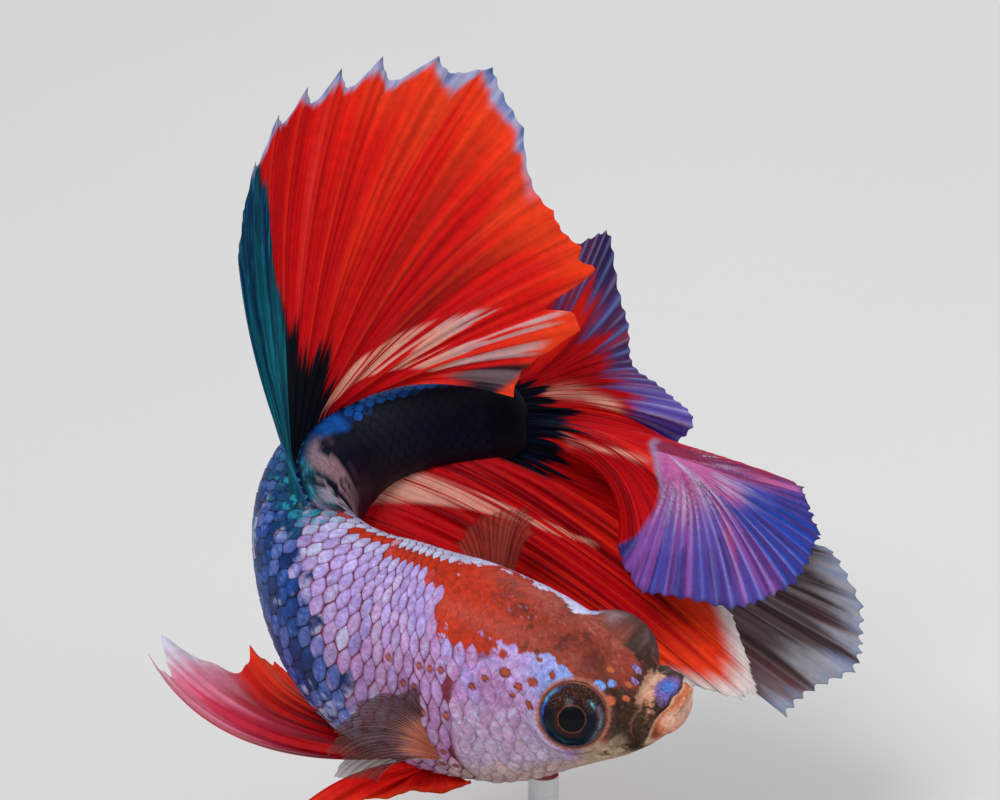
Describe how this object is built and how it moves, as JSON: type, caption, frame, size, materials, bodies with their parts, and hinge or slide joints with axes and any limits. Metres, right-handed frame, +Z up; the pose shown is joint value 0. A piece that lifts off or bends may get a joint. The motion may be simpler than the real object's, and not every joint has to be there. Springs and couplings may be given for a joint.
{
  "type": "betta fish",
  "caption": "Long-finned male betta fish, body bent round to its left with fins spread, on a round display base with a short rod.",
  "frame": {"origin": "middle of the underside of the stand's round base", "axes": "+Z up; seen from -Y the fish's head points to +X and a little towards -Y, and its tail comes round behind it"},
  "size_m": [0.0546, 0.0478, 0.0697],
  "materials": {
    "head": "wet brick-red scales and skin",
    "lips": "wet pink-brown skin",
    "flank": "wet lilac scales",
    "bend": "wet deep-blue scales",
    "stem": "wet near-black scales",
    "eye": "glossy black",
    "fin": "thin red rayed membrane",
    "pectoral": "thin smoky clear membrane",
    "stand": "black acrylic",
    "rod": "brushed"
  },
  "bodies": {
    "root": {"head": "head", "upper_jaw": "lips", "lower_jaw": "lips", "gill_cover_left": "head", "gill_cover_right": "head", "eye_left": "eye", "eye_right": "eye", "trunk": "flank", "trunk_bend": "bend", "tail_stem": "stem", "dorsal_fin": "fin", "tail_fin": "fin", "anal_fin": "fin", "pelvic_fin_left": "fin", "pelvic_fin_right": "fin", "pectoral_fin_left": "pectoral", "pectoral_fin_right": "pectoral", "stand_base": "stand", "stand_rod": "rod"}
  },
  "joints": []
}
